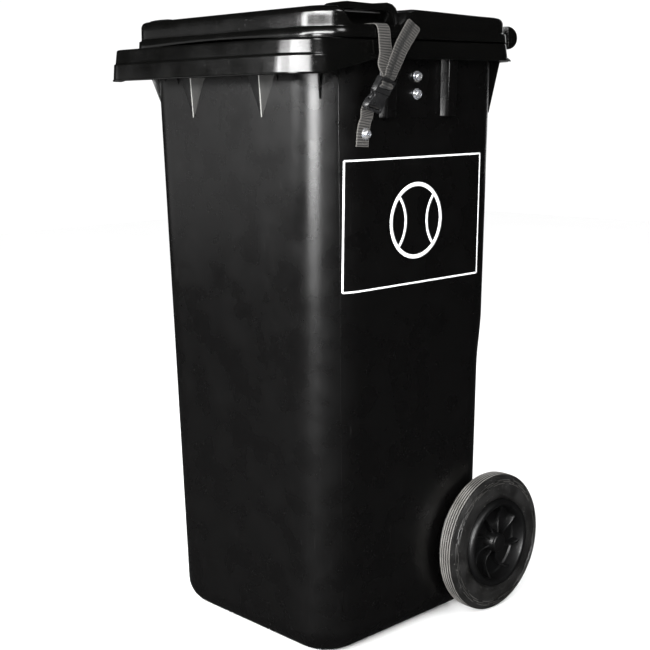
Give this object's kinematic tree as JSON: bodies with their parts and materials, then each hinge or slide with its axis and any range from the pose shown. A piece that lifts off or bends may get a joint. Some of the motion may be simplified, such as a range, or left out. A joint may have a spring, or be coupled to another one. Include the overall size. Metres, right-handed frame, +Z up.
{
  "type": "tennis ball machine",
  "caption": "Two-wheeled lidded bin with a webbing lid strap, holding a ball hopper, indexing feed disc and paired throwing wheels that throw out over the front lip",
  "frame": {"origin": "middle of the flat underside that the bin stands on", "axes": "+Z up, the front lip faces -Y, the rear grips and wheels are at +Y, +X is the side with the strap"},
  "size_m": [0.5023, 0.554, 0.964],
  "materials": {
    "black_plastic": "moulded polyethylene, semi-gloss with fine scuffs",
    "hub_plastic": "moulded, satin",
    "tyre_rubber": "solid rubber, dusty, fine tread rings",
    "steel": "drawn bar",
    "zinc": "bright zinc plate",
    "webbing": "ribbed polypropylene webbing",
    "buckle_plastic": "acetal, glossy",
    "grey_paint": "powder coat, satin",
    "dark_plastic": "moulded, matt",
    "white_plastic": "machined acetal, satin",
    "motor_steel": "plated can",
    "battery_case": "moulded, matt",
    "control_plastic": "moulded, fine grain",
    "knob_plastic": "moulded",
    "red_plastic": "moulded",
    "throw_rubber": "ground rubber tread"
  },
  "bodies": {
    "bin": {"bin_body": "black_plastic", "axle": "steel", "battery": "battery_case", "control_box": "control_plastic", "strap_lower": "webbing", "buckle_female": "buckle_plastic", "bolt_strap": "zinc", "washer_strap": "zinc", "nut_strap": "zinc", "throw_frame": "grey_paint", "launch_tube": "dark_plastic", "hopper": "dark_plastic", "feed_motor": "motor_steel", "hinge_pin_right": "hub_plastic", "throw_motor_right": "motor_steel", "bolt_side_right_upper": "zinc", "washer_side_right_upper": "zinc", "nut_side_right_upper": "zinc", "bolt_side_right_lower": "zinc", "washer_side_right_lower": "zinc", "nut_side_right_lower": "zinc", "hinge_pin_left": "hub_plastic", "throw_motor_left": "motor_steel", "bolt_side_left_upper": "zinc", "washer_side_left_upper": "zinc", "nut_side_left_upper": "zinc", "bolt_side_left_lower": "zinc", "washer_side_left_lower": "zinc", "nut_side_left_lower": "zinc"},
    "lid": {"lid": "black_plastic", "strap_upper": "webbing"},
    "strap_clip": {"buckle_male": "buckle_plastic", "strap_tail": "webbing"},
    "wheel_right": {"tyre_right": "tyre_rubber", "wheel_hub_right": "hub_plastic", "hub_cap_right": "hub_plastic"},
    "wheel_left": {"tyre_left": "tyre_rubber", "wheel_hub_left": "hub_plastic", "hub_cap_left": "hub_plastic"},
    "throw_wheel_right": {"throw_wheel_right": "throw_rubber"},
    "throw_wheel_left": {"throw_wheel_left": "throw_rubber"},
    "feed_disc": {"feed_disc": "white_plastic"},
    "speed_knob": {"speed_knob": "knob_plastic"},
    "feed_knob": {"feed_knob": "knob_plastic"},
    "power_rocker": {"power_rocker": "red_plastic"}
  },
  "joints": [
    {"name": "lid_hinge", "type": "hinge", "parent": "bin", "child": "lid", "pos_m": [0, 0.277, 0.9255], "axis": [-1, 0, 0], "range_deg": [0, 260], "deforming": ["strap_upper"]},
    {"name": "buckle_release", "type": "slide", "parent": "lid", "child": "strap_clip", "axis": [0.4104, 0.2603, 0.8739], "range_m": [0, 0.024]},
    {"name": "wheel_right_spin", "type": "hinge", "parent": "bin", "child": "wheel_right", "pos_m": [0.2138, 0.1576, 0.1122], "axis": [1, 0, 0], "continuous": true},
    {"name": "wheel_left_spin", "type": "hinge", "parent": "bin", "child": "wheel_left", "pos_m": [-0.2138, 0.1576, 0.1122], "axis": [1, 0, 0], "continuous": true},
    {"name": "throw_wheel_right_spin", "type": "hinge", "parent": "bin", "child": "throw_wheel_right", "pos_m": [0.098, -0.005, 0.785], "axis": [0, 0.6157, 0.788], "continuous": true},
    {"name": "throw_wheel_left_spin", "type": "hinge", "parent": "bin", "child": "throw_wheel_left", "pos_m": [-0.098, -0.005, 0.785], "axis": [0, 0.6157, 0.788], "continuous": true},
    {"name": "feed_disc_spin", "type": "hinge", "parent": "bin", "child": "feed_disc", "pos_m": [0, 0.065, 0.846], "axis": [0, 0, 1], "continuous": true},
    {"name": "speed_knob_turn", "type": "hinge", "parent": "bin", "child": "speed_knob", "pos_m": [0.092, -0.054, 0.9], "axis": [0, 0, -1], "range_deg": [0, 270]},
    {"name": "feed_knob_turn", "type": "hinge", "parent": "bin", "child": "feed_knob", "pos_m": [0.12, -0.054, 0.9], "axis": [0, 0, -1], "range_deg": [0, 270]},
    {"name": "power_rocker_tilt", "type": "hinge", "parent": "bin", "child": "power_rocker", "pos_m": [0.145, -0.053, 0.893], "axis": [-1, 0, 0], "range_deg": [0, 14]}
  ],
  "couplings": [
    {"joint": "throw_wheel_left_spin", "follows": "throw_wheel_right_spin", "ratio": -1}
  ]
}
